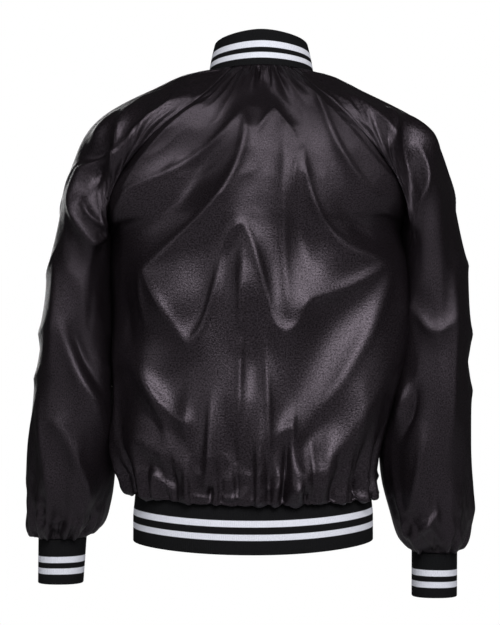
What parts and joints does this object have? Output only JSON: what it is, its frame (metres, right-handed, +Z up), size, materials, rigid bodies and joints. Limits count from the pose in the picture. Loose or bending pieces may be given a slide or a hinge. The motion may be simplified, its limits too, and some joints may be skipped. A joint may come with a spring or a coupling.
{
  "type": "satin baseball jacket",
  "caption": "Blouson jacket of black satin with raglan sleeves and a striped rib-knit collar, waistband and cuffs, snapped shut at the front and filled out as if worn.",
  "frame": {"origin": "inside the neck, at the height of the collar seam at the centre back, where the wearer's neck and shoulders carry the jacket", "axes": "+Z up, +Y out of the back of the jacket, +X to the wearer's left"},
  "size_m": [0.66, 0.2941, 0.8366],
  "materials": {
    "satin": "black satin with a broad soft sheen",
    "rib_knit": "matt black rib knit with two white stripes",
    "snap": "black lacquered press stud"
  },
  "bodies": {
    "root": {"back": "satin", "front_left": "satin", "front_right": "satin", "sleeve_left": "satin", "sleeve_right": "satin", "collar": "rib_knit", "waistband": "rib_knit", "cuff_left": "rib_knit", "cuff_right": "rib_knit", "snap_cap_1": "snap", "snap_cap_2": "snap", "snap_cap_3": "snap", "snap_cap_4": "snap", "snap_cap_5": "snap", "snap_cap_6": "snap", "snap_cap_7": "snap", "snap_back_1": "snap", "snap_back_2": "snap", "snap_back_3": "snap", "snap_back_4": "snap", "snap_back_5": "snap", "snap_back_6": "snap", "snap_back_7": "snap"}
  },
  "joints": []
}
